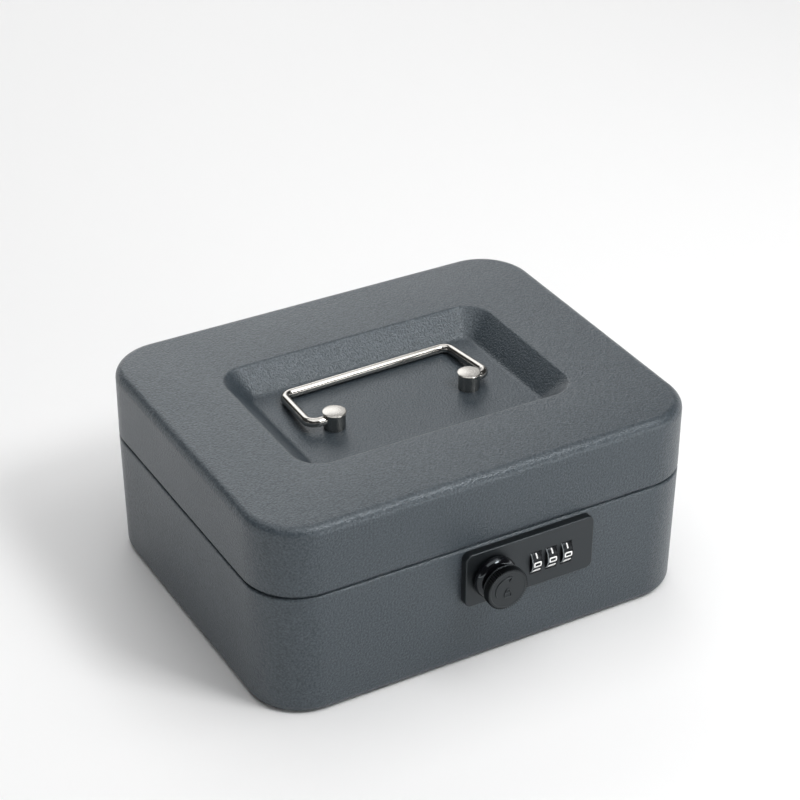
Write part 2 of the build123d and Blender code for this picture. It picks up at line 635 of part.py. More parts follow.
def lock_screws():
    """Six screws through the cover, body and wall into the lock plate."""
    head_front = BODY_BACK + COVER_THICKNESS
    screws = []
    for x in SCREW_XS:
        for z in SCREW_ZS:
            head = rod_y(SCREW_HEAD_RADIUS, head_front, head_front + SCREW_HEAD_HEIGHT, x, z)
            head = fillet(head.faces().sort_by(Axis.Y)[-1].edges(), SCREW_HEAD_HEIGHT / 2)
            recess = Pos(x, head_front + SCREW_HEAD_HEIGHT, z) * Rot(-90, 0, 0) * cross_recess(*SCREW_CROSS)
            screws.append(head - recess + rod_y(SCREW_RADIUS, SCREW_END, head_front, x, z))
    return Compound(children=screws)


def detent_spring():
    """Leaf spring on the lock body's floor, with a finger behind each dial."""
    foot_z = BODY_LOW + BODY_WALL + SPRING_THICKNESS / 2
    tip_y = DIAL_Y + DIAL_RADIUS + SPRING_GAP + SPRING_THICKNESS / 2
    last = DIAL_COUNT - 1
    half = SPRING_FINGER_WIDTH / 2
    strip = box_between(DIAL_X - half, DIAL_X + last * DIAL_PITCH + half, *SPRING_FOOT,
                        *around(foot_z, SPRING_THICKNESS / 2))
    root = (SPRING_FOOT[1] - SPRING_THICKNESS / 2, foot_z)
    shape = Plane.YZ * trace(Polyline(root, SPRING_KNEE, (tip_y, DIAL_Z), SPRING_TIP), SPRING_THICKNESS)
    for index in range(DIAL_COUNT):
        x = DIAL_X + index * DIAL_PITCH
        strip += Pos(x - half, 0, 0) * extrude(shape, SPRING_FINGER_WIDTH)
    return strip


def change_lever():
    """Slide on the back of the lock that frees the dials from their sleeves to set a new code."""
    plate_back = BODY_BACK - RUNNING
    tab_end = BODY_BACK + COVER_THICKNESS + LEVER_TAB
    plate = box_between(*around(LEVER_X, LEVER_PLATE / 2), plate_back - LEVER_PLATE_THICKNESS, plate_back,
                        *around(LEVER_Z, LEVER_PLATE_HEIGHT / 2))
    return plate + box_between(*around(LEVER_X, LEVER_NECK / 2), plate_back, tab_end,
                               *around(LEVER_Z, LEVER_HEIGHT / 2))


def strike():
    """Bracket welded inside the lid's front wall; the latch hooks through its slot."""
    wall = FRONT + SHEET
    welded = wall + STRIKE_WELD
    outline = Polyline(
        (welded, STRIKE_TOP), (welded, STRIKE_SHOULDER), (STRIKE_FRONT, STRIKE_SHOULDER),
        (STRIKE_FRONT, STRIKE_LOW), (STRIKE_BACK, STRIKE_LOW), (STRIKE_BACK, STRIKE_WEB_TOP), close=True)
    web = extrude(Plane.YZ.offset(KNOB_X - STRIKE_THICKNESS / 2) * make_face(outline), STRIKE_THICKNESS)
    web -= box_between(*around(KNOB_X, STRIKE_THICKNESS), STRIKE_FRONT + STRIKE_BAR,
                       STRIKE_BACK - STRIKE_BAR, STRIKE_SLOT_LOW, STRIKE_SLOT_HIGH)
    flange = box_between(*around(KNOB_X, FLANGE_HALF_WIDTH), wall, welded, STRIKE_SHOULDER, STRIKE_TOP)
    return flange + web


def tray_pocket(x0, x1, y0, y1, bottom_round):
    """One compartment, rounded along its bottom and bounded by the tray's outer wall."""
    floor = TRAY_LOW + TRAY_WALL
    top = RIM_TOP + TRAY_FLANGE
    block = box_between(x0, x1, y0, y1, floor, top + bottom_round)
    block = fillet(block.faces().sort_by(Axis.Z)[0].edges().filter_by(Axis.X), bottom_round)
    return block & plan_prism(TRAY_BODY_INSET + TRAY_WALL, floor, top)


def coin_tray():
    """Moulded tray with three coin cups, two boxes and a well for the grab bar."""
    top = RIM_TOP + TRAY_FLANGE
    tray = plan_prism(TRAY_FLANGE_INSET, RIM_TOP, top) + plan_prism(TRAY_BODY_INSET, TRAY_LOW, RIM_TOP)
    tray -= box_between(TRAY_NOTCH_LEFT, TRAY_NOTCH_RIGHT, -DEPTH, TRAY_NOTCH_BACK, 0, HEIGHT)
    half = TRAY_WALL / 2
    pitch = (WIDTH - 2 * TRAY_BODY_INSET) / TRAY_CUPS
    edge = WIDTH / 2 - TRAY_BODY_INSET - TRAY_WALL
    for column in range(TRAY_CUPS):
        left = (column - TRAY_CUPS / 2) * pitch
        cup = (max(-edge, left + half), min(edge, left + pitch - half))
        tray -= tray_pocket(*cup, TRAY_ROW_Y + half, DEPTH / 2, TRAY_SCOOP)
    row_end = TRAY_ROW_Y - half
    tray -= tray_pocket(-edge, TRAY_NOTCH_LEFT - TRAY_WALL, -DEPTH / 2, row_end, TRAY_POCKET_ROUND)
    tray -= tray_pocket(TRAY_NOTCH_RIGHT + TRAY_WALL, edge, -DEPTH / 2, row_end, TRAY_POCKET_ROUND)
    well = (TRAY_NOTCH_LEFT, TRAY_NOTCH_RIGHT, TRAY_NOTCH_BACK + TRAY_WALL, row_end)
    tray -= tray_pocket(*well, TRAY_POCKET_ROUND)
    return tray - grab_bar()


def grab_bar():
    """Round bar across the tray's well, seated in a socket at each end."""
    return rod_x(GRAB_RADIUS, TRAY_NOTCH_LEFT - GRAB_SOCKET, TRAY_NOTCH_RIGHT + GRAB_SOCKET, GRAB_Y, GRAB_Z)


def all_nodes():
    """Every piece of the cash box by its name."""
    nodes = {
        "case_shell": case_shell(),
        "lid_shell": lid_shell(),
        "handle_post_left": handle_post(-1),
        "handle_post_right": handle_post(1),
        "handle_bail": bail(),
        "post_screws": post_screws(),
        "post_washers": post_washers(),
        "case_hinge_leaves": hinge_leaves(True),
        "lid_hinge_leaves": hinge_leaves(False),
        "hinge_pins": hinge_pins(),
        "lock_plate": lock_plate(),
        "knob_collar": knob_collar(),
        "knob": knob(),
        "knob_spindle": knob_spindle(),
        "drive_eccentric": drive_eccentric(),
        "latch_cam": latch_cam(),
        "cam_nut": cam_nut(),
        "code_bolt": code_bolt(),
        "lock_body": lock_body(),
        "lock_cover": lock_cover(),
        "lock_screws": lock_screws(),
        "detent_spring": detent_spring(),
        "change_lever": change_lever(),
        "strike": strike(),
        "coin_tray": coin_tray(),
        "tray_grab_bar": grab_bar(),
    }
    for index in range(DIAL_COUNT):
        nodes[f"dial_wheel_{index + 1}"] = dial_wheel(index)
        nodes[f"code_sleeve_{index + 1}"] = code_sleeve(index)
    return nodes


os.makedirs("parts", exist_ok=True)
for name, shape in all_nodes().items():
    export_step(shape, f"parts/{name}.step")
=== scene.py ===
import json
from math import ceil, cos, hypot, pi, radians, sin, tan

import bmesh
import bpy
from mathutils import Matrix, Vector


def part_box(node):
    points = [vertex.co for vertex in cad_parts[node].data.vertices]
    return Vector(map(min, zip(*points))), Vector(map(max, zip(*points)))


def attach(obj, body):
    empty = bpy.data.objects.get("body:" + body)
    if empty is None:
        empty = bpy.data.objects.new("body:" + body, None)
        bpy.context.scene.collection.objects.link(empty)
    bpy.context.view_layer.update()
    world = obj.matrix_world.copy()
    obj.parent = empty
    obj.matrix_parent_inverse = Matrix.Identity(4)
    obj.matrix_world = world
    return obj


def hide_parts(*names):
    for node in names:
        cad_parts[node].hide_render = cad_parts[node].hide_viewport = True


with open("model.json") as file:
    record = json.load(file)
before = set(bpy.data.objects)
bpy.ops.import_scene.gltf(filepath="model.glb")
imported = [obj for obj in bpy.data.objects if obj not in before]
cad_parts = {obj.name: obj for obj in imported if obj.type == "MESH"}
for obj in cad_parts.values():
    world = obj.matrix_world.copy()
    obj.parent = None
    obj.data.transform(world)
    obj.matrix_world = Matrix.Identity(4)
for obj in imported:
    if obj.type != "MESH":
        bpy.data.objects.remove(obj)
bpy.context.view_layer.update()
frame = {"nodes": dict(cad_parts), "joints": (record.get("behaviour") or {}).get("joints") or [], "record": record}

# Cash box with a carrying handle and a combination lock. Lengths are in metres.
MM = 0.001

# ---------------------------------------------------------------- sizes taken from the frame
LID_LOW, LID_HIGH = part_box("lid_shell")
HALF_X = LID_HIGH.x
HALF_Y = LID_HIGH.y
PARTING = LID_LOW.z
HEIGHT = LID_HIGH.z
RIM_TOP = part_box("case_shell")[1].z
CORNER = 23.5 * MM
SHEET = 1.0 * MM

# Shapes of the two shells that their boxes don't tell
SHOULDER = PARTING - 1.4 * MM       # top of the case's outer wall, where it steps in to the rim
SHOULDER_ROUND = 1.2 * MM
SHOULDER_RISE = 0.1 * MM            # the step slopes up by this much to the rim
LEDGE_FALL = 0.3 * MM               # and its underside slopes down by this much to the wall
SIDE_DRAFT = 1.1 * MM               # the left and right sides lean in by this much at the base
RIM_INSET = 1.3 * MM
BASE_ROUND = 4.0 * MM
LID_ROUND = 4.3 * MM
HEM_ROUND = 0.35 * MM               # how far the rounded free edge of the sheet bulges
PAN_MOUTH = (64.2 * MM, 41.45 * MM, 12.5 * MM)     # half width, half length, corner
PAN_FLOOR = (53.4 * MM, 30.45 * MM, 4.5 * MM)
PAN_Y = -0.25 * MM
PAN_DEPTH = 10.0 * MM
PAN_LIP = 0.8 * MM                  # run of the rounding at the pan's mouth
PAN_FOOT = 1.7 * MM                 # run of the rounding at its floor
PAN_WALL = 0.5 * MM                 # the pan's underside spreads this far past its upper face
CORNER_STEPS = 20
SIDE_STEPS = 24
SHARP = 35                          # edges sharper than this many degrees aren't smoothed

# Windows in the case's front wall, hidden by the lock plate: left, right, low and high
WINDOWS = (
    (-10.9 * MM, 5.5 * MM, 33.9 * MM, 48.3 * MM),
    (5.4 * MM, 12.4 * MM, 39.9 * MM, 43.5 * MM),
    (12.3 * MM, 39.0 * MM, 34.6 * MM, 48.8 * MM),
)
POST_SCREW_RADIUS = 1.5 * MM


# ---------------------------------------------------------------- mesh helpers
def add_object(name, mesh):
    """Object at the origin that shows a mesh."""
    obj = bpy.data.objects.new(name, mesh)
    bpy.context.scene.collection.objects.link(obj)
    return obj


def finish_mesh(name, bm, sharp=SHARP):
    """Object from a bmesh, smooth but for edges sharper than an angle in degrees."""
    bmesh.ops.recalc_face_normals(bm, faces=bm.faces)
    mesh = bpy.data.meshes.new(name)
    bm.to_mesh(mesh)
    bm.free()
    mesh.shade_smooth()
    mesh.set_sharp_from_angle(angle=radians(sharp))
    return add_object(name, mesh)


def rounded_ring(half_x, half_y, corner, z, centre_y=0.0):
    """Points round a rounded rectangle; every ring has the same number, in step."""
    points = []
    for quarter in range(4):
        sign_x = (1, -1, -1, 1)[quarter]
        sign_y = (1, 1, -1, -1)[quarter]
        centre = Vector((sign_x * (half_x - corner), centre_y + sign_y * (half_y - corner), z))
        arc = []
        for step in range(CORNER_STEPS + 1):
            angle = (quarter + step / CORNER_STEPS) * pi / 2
            arc.append(centre + corner * Vector((cos(angle), sin(angle), 0)))
        if points:
            points += between(points[-1], arc[0])
        points += arc
    return points + between(points[-1], points[0])


def between(start, end):
    """Points that divide a straight side, without its ends."""
    return [start.lerp(end, step / SIDE_STEPS) for step in range(1, SIDE_STEPS)]


def blend_rings(first, corner, last, steps):
    """Rings that round off the corner between two surfaces."""
    rings = []
    for step in range(steps + 1):
        t = step / steps
        near, middle, far = (1 - t) ** 2, 2 * t * (1 - t), t ** 2
        rings.append([a * near + b * middle + c * far for a, b, c in zip(first, corner, last)])
    return rings


def quarter_turn(steps, first=0):
    """Pairs (1 - cos, 1 - sin) over a quarter turn, to round an edge with."""
    for step in range(first, steps + 1):
        angle = step / steps * pi / 2
        yield 1 - cos(angle), 1 - sin(angle)


def mix_rings(first, last, t):
    """Ring part of the way from one ring to another."""
    return [a.lerp(b, t) for a, b in zip(first, last)]


def skin_rings(bm, rings, cap_first=True, cap_last=True):
    """Faces between neighbouring rings, and across the open ends."""
    rows = [[bm.verts.new(point) for point in ring] for ring in rings]
    count = len(rows[0])
    for row, following in zip(rows, rows[1:]):
        for i in range(count):
            j = (i + 1) % count
            bm.faces.new((row[i], row[j], following[j], following[i]))
    if cap_first:
        bm.faces.new(rows[0])
    if cap_last:
        bm.faces.new(rows[-1])
    return rows


def turned(name, profile, place, steps=96):
    """Body of revolution from (radius, along) points; place maps (across, up, along) to a point."""
    bm = bmesh.new()
    rings = []
    for radius, along in profile:
        angles = [2 * pi * step / steps for step in range(steps)]
        rings.append([place(radius * cos(a), radius * sin(a), along) for a in angles])
    skin_rings(bm, rings)
    return finish_mesh(name, bm)


def arc_profile(centre, radius, start, end, steps=8):
    """Points (radius, along) on an arc of a profile; angles are in degrees from the radial direction."""
    points = []
    for step in range(steps + 1):
        angle = radians(start + (end - start) * step / steps)
        points.append((centre[0] + radius * cos(angle), centre[1] + radius * sin(angle)))
    return points


def round_corners(points, radius, closed, steps=5):
    """Flat path with its corners rounded off."""
    count = len(points)
    path = []
    for i, point in enumerate(points):
        if not closed and i in (0, count - 1):
            path.append(point)
            continue
        before = (points[i - 1] - point).normalized() * radius
        after = (points[(i + 1) % count] - point).normalized() * radius
        for step in range(steps + 1):
            t = step / steps
            path.append(point + before * (1 - t) ** 2 + after * t ** 2)
    return path


def divided(points, closed, longest=0.4 * MM):
    """Flat path with points added so that no step is longer than a length."""
    path = []
    for start, end in zip(points, points[1:] + points[:1]):
        steps = max(1, ceil((end - start).length / longest))
        path += [start.lerp(end, step / steps) for step in range(steps)]
    if closed:
        return path
    return path[:path.index(points[-1]) + 1]


STROKE_TURN = 30                    # degrees between two points of a stroke's rounded top
STROKE_FOOT = 0.9                   # width of its sunk foot, as a share
STROKE_TIP_TURNS = (35, 62, 80)     # degrees round its ends


def add_stroke(bm, corners, place, width, rise, sink, closed, round_by):
    """Raised line with rounded edges along a flat path; place maps (across, up, out) to a point."""
    path = divided(round_corners([Vector(corner) for corner in corners], round_by, closed), closed)
    count = len(path)
    half = width / 2
    turns = [radians(turn) for turn in range(0, 181, STROKE_TURN)]
    section = [(half * cos(turn), rise * sin(turn)) for turn in turns]
    section += [(-half * STROKE_FOOT, -sink), (half * STROKE_FOOT, -sink)]
    rings = []
    for i, point in enumerate(path):
        before = path[i - 1] if closed or i else point
        after = path[(i + 1) % count] if closed or i + 1 < count else point
        along = (after - before).normalized()
        across = Vector((along.y, -along.x))
        rings.append([(point, across, side, out) for side, out in section])
        if not closed and i in (0, count - 1):
            outward = along if i else -along
            ends = []
            for turn in (radians(turn) for turn in STROKE_TIP_TURNS):
                tip, narrow = point + outward * half * sin(turn), across * cos(turn)
                ends.append([(tip, narrow, side, out) for side, out in section])
            rings = rings + ends if i else ends[::-1] + rings
    rows = []
    for ring in rings:
        flat = [(centre + across * side, out) for centre, across, side, out in ring]
        rows.append([bm.verts.new(place(spot.x, spot.y, out)) for spot, out in flat])
    size = len(section)
    pairs = list(zip(rows, rows[1:])) + ([(rows[-1], rows[0])] if closed else [])
    for row, following in pairs:
        for i in range(size):
            j = (i + 1) % size
            bm.faces.new((row[i], row[j], following[j], following[i]))
    if not closed:
        bm.faces.new(rows[0])
        bm.faces.new(rows[-1])


def cut(obj, cutters):
    """Takes the cutters' shapes out of an object, for good."""
    for cutter in cutters:
        modifier = obj.modifiers.new("cut", "BOOLEAN")
        modifier.object = cutter
        modifier.solver = "EXACT"
    depsgraph = bpy.context.evaluated_depsgraph_get()
    mesh = bpy.data.meshes.new_from_object(obj.evaluated_get(depsgraph))
    obj.modifiers.clear()
    obj.data = mesh
    for cutter in cutters:
        bpy.data.objects.remove(cutter)
    mesh.shade_smooth()
    mesh.set_sharp_from_angle(angle=radians(SHARP))
    return obj


def block(low, high):
    """Box between two corners, to cut with."""
    bm = bmesh.new()
    bmesh.ops.create_cube(bm, size=1.0)
    for vert in bm.verts:
        vert.co = Vector(lo if side < 0 else hi for side, lo, hi in zip(vert.co, low, high))
    return finish_mesh("block", bm)


def pin_along_z(radius, x, y, low, high):
    """Round pin to cut with."""
    profile = [(0.0, low), (radius, low), (radius, high), (0.0, high)]
    return turned("pin", profile, lambda a, b, z: Vector((x + a, y + b, z)), 32)


def box_ring(inset, z, draft=0.0):
    """Ring with the box's plan outline, drawn in by an inset, and on the left and right by a draft."""
    return rounded_ring(HALF_X - inset - draft, HALF_Y - inset, CORNER - inset, z)


# ---------------------------------------------------------------- shells
def pan_ring(size, spread, z):
    """Ring of the pan, from its half width, half length and corner, each grown by a spread."""
    half_x, half_y, corner = size
    return rounded_ring(half_x + spread, half_y + spread, corner + spread, z, PAN_Y)


def pan_rings(spread, drop):
    """Rings from the lid's flat top down into the pan, ending on its floor."""
    top = HEIGHT - drop
    bottom = top - PAN_DEPTH
    mouth = pan_ring(PAN_MOUTH, spread, top)
    floor = pan_ring(PAN_FLOOR, spread, bottom)
    outside = pan_ring(PAN_MOUTH, spread + PAN_LIP, top)
    inside = pan_ring(PAN_FLOOR, spread - PAN_FOOT, bottom)
    slope = hypot(PAN_DEPTH, PAN_MOUTH[0] - PAN_FLOOR[0])
    rings = blend_rings(outside, mouth, mix_rings(mouth, floor, PAN_LIP / slope), 8)
    rings += blend_rings(mix_rings(mouth, floor, 1 - PAN_FOOT / slope), floor, inside, 10)
    return rings


def lid_rings(inset, drop, round_radius):
    """Rings up a wall of the lid, over its rounded edge and across its top into the pan."""
    top = HEIGHT - drop
    rings = [box_ring(inset, z) for z in (PARTING + 2 * HEM_ROUND, (PARTING + top) / 2)]
    for inward, down in quarter_turn(10):
        rings.append(box_ring(inset + round_radius * inward, top - round_radius * down))
    return rings


def hem_rings(inset, z, upward):
    """Rounded free edge of a sheet whose outer face has an inset; upward is 1 or -1."""
    half = SHEET / 2
    rings = []
    for step in range(7):
        turn = step / 6 * pi
        rings.append(box_ring(inset + half - half * cos(turn), z + upward * HEM_ROUND * sin(turn)))
    return rings


def build_lid():
    """Pressed lid as one closed sheet, outside first."""
    outer = lid_rings(0.0, 0.0, LID_ROUND) + pan_rings(0.0, 0.0)
    inner = lid_rings(SHEET, SHEET, LID_ROUND - SHEET) + pan_rings(PAN_WALL, SHEET)
    hem = hem_rings(0.0, PARTING + HEM_ROUND, -1)
    bm = bmesh.new()
    skin_rings(bm, outer[::-1] + hem + inner)
    lid = finish_mesh("lid_pressing", bm)
    pins = []
    for post in ("handle_post_left", "handle_post_right"):
        low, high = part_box(post)
        middle = (low + high) / 2
        pins.append(pin_along_z(POST_SCREW_RADIUS, middle.x, middle.y, low.z - 2 * SHEET, low.z + SHEET))
    return cut(lid, pins)


def case_side_rings(inset, low, high, round_radius):
    """Rings from the base up over its rounded edge to near the shoulder."""
    rings = []
    for up, inward in quarter_turn(8):
        z = low + round_radius * up
        rings.append(box_ring(inset + round_radius * inward, z, draft_at(z)))
    rings += [box_ring(inset, z, draft_at(z)) for z in ((low + high) / 2, high)]
    return rings


def draft_at(z):
    """How far the left and right sides lean in at a height."""
    return SIDE_DRAFT * max(0.0, 1 - z / SHOULDER)


def build_case():
    """Pressed case as one closed sheet, with its shoulder and rim."""
    outer = case_side_rings(0.0, 0.0, SHOULDER - SHOULDER_ROUND, BASE_ROUND)
    for inward, down in quarter_turn(6, 1):
        outer.append(box_ring(SHOULDER_ROUND * inward, SHOULDER - SHOULDER_ROUND * down))
    outer += [box_ring(RIM_INSET, SHOULDER + SHOULDER_RISE), box_ring(RIM_INSET, RIM_TOP - SHEET)]
    hem = hem_rings(RIM_INSET, RIM_TOP - HEM_ROUND, 1)
    ledge = SHOULDER - SHEET
    inner = [box_ring(RIM_INSET + SHEET, RIM_TOP - SHEET), box_ring(RIM_INSET + SHEET, ledge)]
    inner += [box_ring(SHEET, ledge - LEDGE_FALL, draft_at(ledge))]
    inner += case_side_rings(SHEET, SHEET, ledge - SHEET, BASE_ROUND - SHEET)[::-1]
    bm = bmesh.new()
    skin_rings(bm, outer + hem + inner)
    case = finish_mesh("case_pressing", bm)
    front, back = -HALF_Y - SHEET, -HALF_Y + 2 * SHEET
    blocks = [block((left, front, low), (right, back, high)) for left, right, low, high in WINDOWS]
    return cut(case, blocks)


# ---------------------------------------------------------------- handle posts and bail
POST_RADIUS = 4.65 * MM
POST_BREAK = 0.2 * MM               # bevel round the post's foot
CAP_EDGE = 0.85 * MM                # the cap's lower edge lies this far below its top
CAP_GROOVE = (0.12 * MM, 0.1 * MM)  # depth and height of the groove under the cap
CAP_UNDERSIDE = 0.08 * MM           # the cap's underside stops this far inside its edge
CAP_ROUND = 0.22 * MM
CAP_ROUND_MIDDLE = 0.24 * MM        # height of the rounding's middle over the underside
CAP_RIM_INSET = 0.1 * MM            # from the cap's edge to the foot of its dome
CAP_RIM_HEIGHT = 0.45 * MM
DOME_STEPS = 12
DOME_POWER = 2.2                    # a higher power makes a flatter dome
HOLE_RADIUS = 2.05 * MM
HOLE_START, HOLE_END = -2.9 * MM, 2.1 * MM      # outward from the post's axis, inside its skin


def build_post(cad_node):
    """Turned post with a domed cap and the cross hole that the bail's end turns in."""
    low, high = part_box(cad_node)
    x, y = (low.x + high.x) / 2, (low.y + high.y) / 2
    side = 1 if x > 0 else -1
    cap = (high.x - low.x) / 2
    edge = high.z - CAP_EDGE
    groove_depth, groove_height = CAP_GROOVE
    profile = [(0.0, low.z), (POST_RADIUS - POST_BREAK, low.z), (POST_RADIUS, low.z + POST_BREAK)]
    profile += [(POST_RADIUS, edge - groove_height), (POST_RADIUS - groove_depth, edge)]
    profile += [(cap - CAP_UNDERSIDE, edge)]
    profile += arc_profile((cap - CAP_ROUND, edge + CAP_ROUND_MIDDLE), CAP_ROUND, -60, 60)
    dome = high.z - edge - CAP_RIM_HEIGHT
    for step in range(1, DOME_STEPS + 1):
        t = 1 - step / DOME_STEPS
        profile.append(((cap - CAP_RIM_INSET) * t, high.z - dome * t ** DOME_POWER))
    post = turned(f"{cad_node}_turned", profile, lambda a, b, z: Vector((x + a, y + b, z)))
    pivot = joint_place("bail_swing")
    hole = [(0.0, HOLE_START), (HOLE_RADIUS, HOLE_START), (HOLE_RADIUS, HOLE_END), (0.0, HOLE_END)]

    def in_hole(a, b, along):
        return Vector((x + side * along, y + a, pivot.z + b))

    return cut(post, [turned("hole", hole, in_hole, 48)])


WIRE_RADIUS = 2.0 * MM
WIRE_END = 29.6 * MM                # the wire's ends stop this far from the middle, inside the posts
WIRE_STEP = 2.5 * MM                # longest step along the wire
WIRE_SIDES = 32
WIRE_CHAMFER = 0.3 * MM             # of the wire's ends, which narrow to a share of its radius
WIRE_END_SHARE = 0.85
BEND = 4.3 * MM                     # radius of the wire's middle line in its bends
BEND_STEPS = 10
FOOT_LEFT, FOOT_RIGHT = -43.5 * MM, 41.2 * MM   # the bail's corners by the pivot
BAR_LEFT, BAR_RIGHT = -41.3 * MM, 39.4 * MM     # its corners by the grip bar
LEG_LEFT, LEG_RIGHT = 28.9 * MM, 31.0 * MM      # from the pivot to the bar


def bail_line():
    """The wire's middle line: straight runs and arcs, from one end to the other."""
    pivot = joint_place("bail_swing")
    low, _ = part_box("handle_bail")
    fall = (pivot.z - low.z - WIRE_RADIUS) / LEG_RIGHT
    flat = [(-WIRE_END, 0), (FOOT_LEFT, 0), (BAR_LEFT, LEG_LEFT)]
    flat += [(BAR_RIGHT, LEG_RIGHT), (FOOT_RIGHT, 0), (WIRE_END, 0)]
    corners = [Vector((x, pivot.y + reach, pivot.z - fall * reach)) for x, reach in flat]
    line = [corners[0]]
    for before, corner, after in zip(corners, corners[1:], corners[2:]):
        back, on = (before - corner).normalized(), (after - corner).normalized()
        half = back.angle(on) / 2
        centre = corner + (back + on).normalized() * BEND / sin(half)
        start = corner + back * BEND / tan(half) - centre
        end = corner + on * BEND / tan(half) - centre
        for step in range(BEND_STEPS + 1):
            line.append(centre + start.slerp(end, step / BEND_STEPS) * start.length)
    return line + [corners[-1]]


def build_bail():
    """Bent wire handle, round in section, with its ends chamfered."""
    line = bail_line()
    path = []
    for start, end in zip(line, line[1:]):
        steps = max(1, ceil((end - start).length / WIRE_STEP))
        path += [start.lerp(end, step / steps) for step in range(steps)]
    path.append(line[-1])
    upright = (line[1] - line[0]).cross(line[-3] - line[1]).normalized()
    rings = []
    for i, point in enumerate(path):
        along = (path[min(i + 1, len(path) - 1)] - path[max(i - 1, 0)]).normalized()
        across = upright.cross(along).normalized()
        ring = []
        for step in range(WIRE_SIDES):
            turn = 2 * pi * step / WIRE_SIDES
            ring.append((across * cos(turn) + upright * sin(turn)) * WIRE_RADIUS)
        rings.append([point + spoke for spoke in ring])
        if i in (0, len(path) - 1):
            past = along * (WIRE_CHAMFER if i else -WIRE_CHAMFER)
            trimmed = [point + spoke * WIRE_END_SHARE + past for spoke in ring]
            rings = rings + [trimmed] if i else [trimmed] + rings
    bm = bmesh.new()
    skin_rings(bm, rings)
    return finish_mesh("bail_wire", bm)


def joint_place(name):
    """Point on a joint's axis."""
    for joint in frame["joints"]:
        if joint["name"] == name:
            return Vector(joint["pos_m"])
    raise ValueError(name)


# ---------------------------------------------------------------- knob and collar
SPINDLE_BORE = 2.6 * MM             # radius of the bore in the knob and the collar
COLLAR_NECK = (2.9 * MM, 2.4 * MM)  # the neck's inset from the ring, and its length
COLLAR_FOOT_ROUND = 1.85 * MM
COLLAR_SHOULDER_ROUND = 3.0 * MM
COLLAR_BREAK = 0.2 * MM             # bevel at the neck's end


def on_knob(across, up, along):
    """Point by its place across and up from the knob's axis, and by its place along Y."""
    axis = joint_place("knob_turn")
    return Vector((axis.x + across, along, axis.z + up))


def build_collar():
    """Glossy rounded ring that stands on the plate, with a neck that reaches to the knob."""
    low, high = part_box("knob_collar")
    radius = (high.x - low.x) / 2
    neck_inset, neck_length = COLLAR_NECK
    neck = radius - neck_inset
    front = low.y + neck_length
    foot, shoulder = COLLAR_FOOT_ROUND, COLLAR_SHOULDER_ROUND
    profile = [(SPINDLE_BORE, high.y)]
    profile += arc_profile((radius - foot, high.y - foot), foot, 90, 0, 12)
    profile += arc_profile((radius - shoulder, front + shoulder), shoulder, 0, -90, 20)
    profile += [(neck, front), (neck, low.y + COLLAR_BREAK), (neck - COLLAR_BREAK, low.y)]
    profile += [(SPINDLE_BORE, low.y)]
    return turned("knob_collar_ring", profile, on_knob, 160)


KNOB_RIDGES = 60
RIDGE_STEPS = 8                     # points to each ridge and groove
RIDGE_POWER = 1.1                   # a higher power makes a wider ridge
GROOVE_DEPTH = 1.15 * MM
RIDGE_BREAK = (0.95, 0.08 * MM)     # share of a ridge's height left at its front, and the bevel's length
KNOB_BEAD = 0.35 * MM               # half width of the bead at the knob's back
KNOB_BEAD_INSET = 0.1 * MM          # the bead's radius is this much under the ridges'
GROOVE_START = 2.2                  # the grooves start this many half widths of the bead from the back
FACE_RIM = (0.3 * MM, 0.5 * MM)     # inset of the face's rim and of its dish, from the grooves' foot
MARK_PROUD = 0.26 * MM              # the raised marks stand this far out of the knob's edge
FACE_DISH = 0.12 * MM               # and the knob's face lies this far inside that edge


def build_knob():
    """Knob with a bead at its back, a knurled edge and flat ridges that end in its face."""
    low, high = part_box("knob")
    outer = (high.z - low.z) / 2
    root = outer - GROOVE_DEPTH
    bead = KNOB_BEAD
    bead_middle = outer - KNOB_BEAD_INSET - bead
    front = low.y + MARK_PROUD
    front_share, front_break = RIDGE_BREAK
    rim, dish = FACE_RIM
    bm = bmesh.new()
    count = KNOB_RIDGES * RIDGE_STEPS

    def ring(along, share, base):
        points = []
        for i in range(count):
            ridge = 1 - abs(2 * (i % RIDGE_STEPS) / RIDGE_STEPS - 1) ** RIDGE_POWER
            radius = base + share * (outer - root) * ridge
            angle = 2 * pi * i / count
            points.append(on_knob(radius * cos(angle), radius * sin(angle), along))
        return points

    rings = [ring(high.y, 0, SPINDLE_BORE), ring(high.y, 0, bead_middle)]
    for step in range(1, 7):
        angle = step / 6 * pi
        rings.append(ring(high.y - bead * (1 - cos(angle)), 0, bead_middle + bead * sin(angle)))
    rings += [ring(high.y - GROOVE_START * bead, 1, root), ring(front + front_break, 1, root)]
    rings += [ring(front, front_share, root), ring(front, 0, root - rim)]
    rings += [ring(front + FACE_DISH, 0, root - dish)]
    skin_rings(bm, rings)
    return finish_mesh("knob_knurled", bm, 28)


MARK_WIDTH = 0.6 * MM
MARK_SINK = 0.1 * MM
MARK_ROUND = 0.1 * MM
ARROW_RADIUS = 5.6 * MM
ARROW_SWEEP = range(200, 69, -10)   # degrees, clockwise to its head
ARROW_BARBS = ((-1.5 * MM, 0.9 * MM), (-1.1 * MM, -1.4 * MM))
PADLOCK_HALF_WIDTH = 1.5 * MM
PADLOCK_LOW, PADLOCK_HIGH = -3.4 * MM, -1.4 * MM
PADLOCK_ROUND = 0.4 * MM
SHACKLE_HALF_WIDTH = 1.0 * MM
SHACKLE_HEIGHT = 1.5 * MM


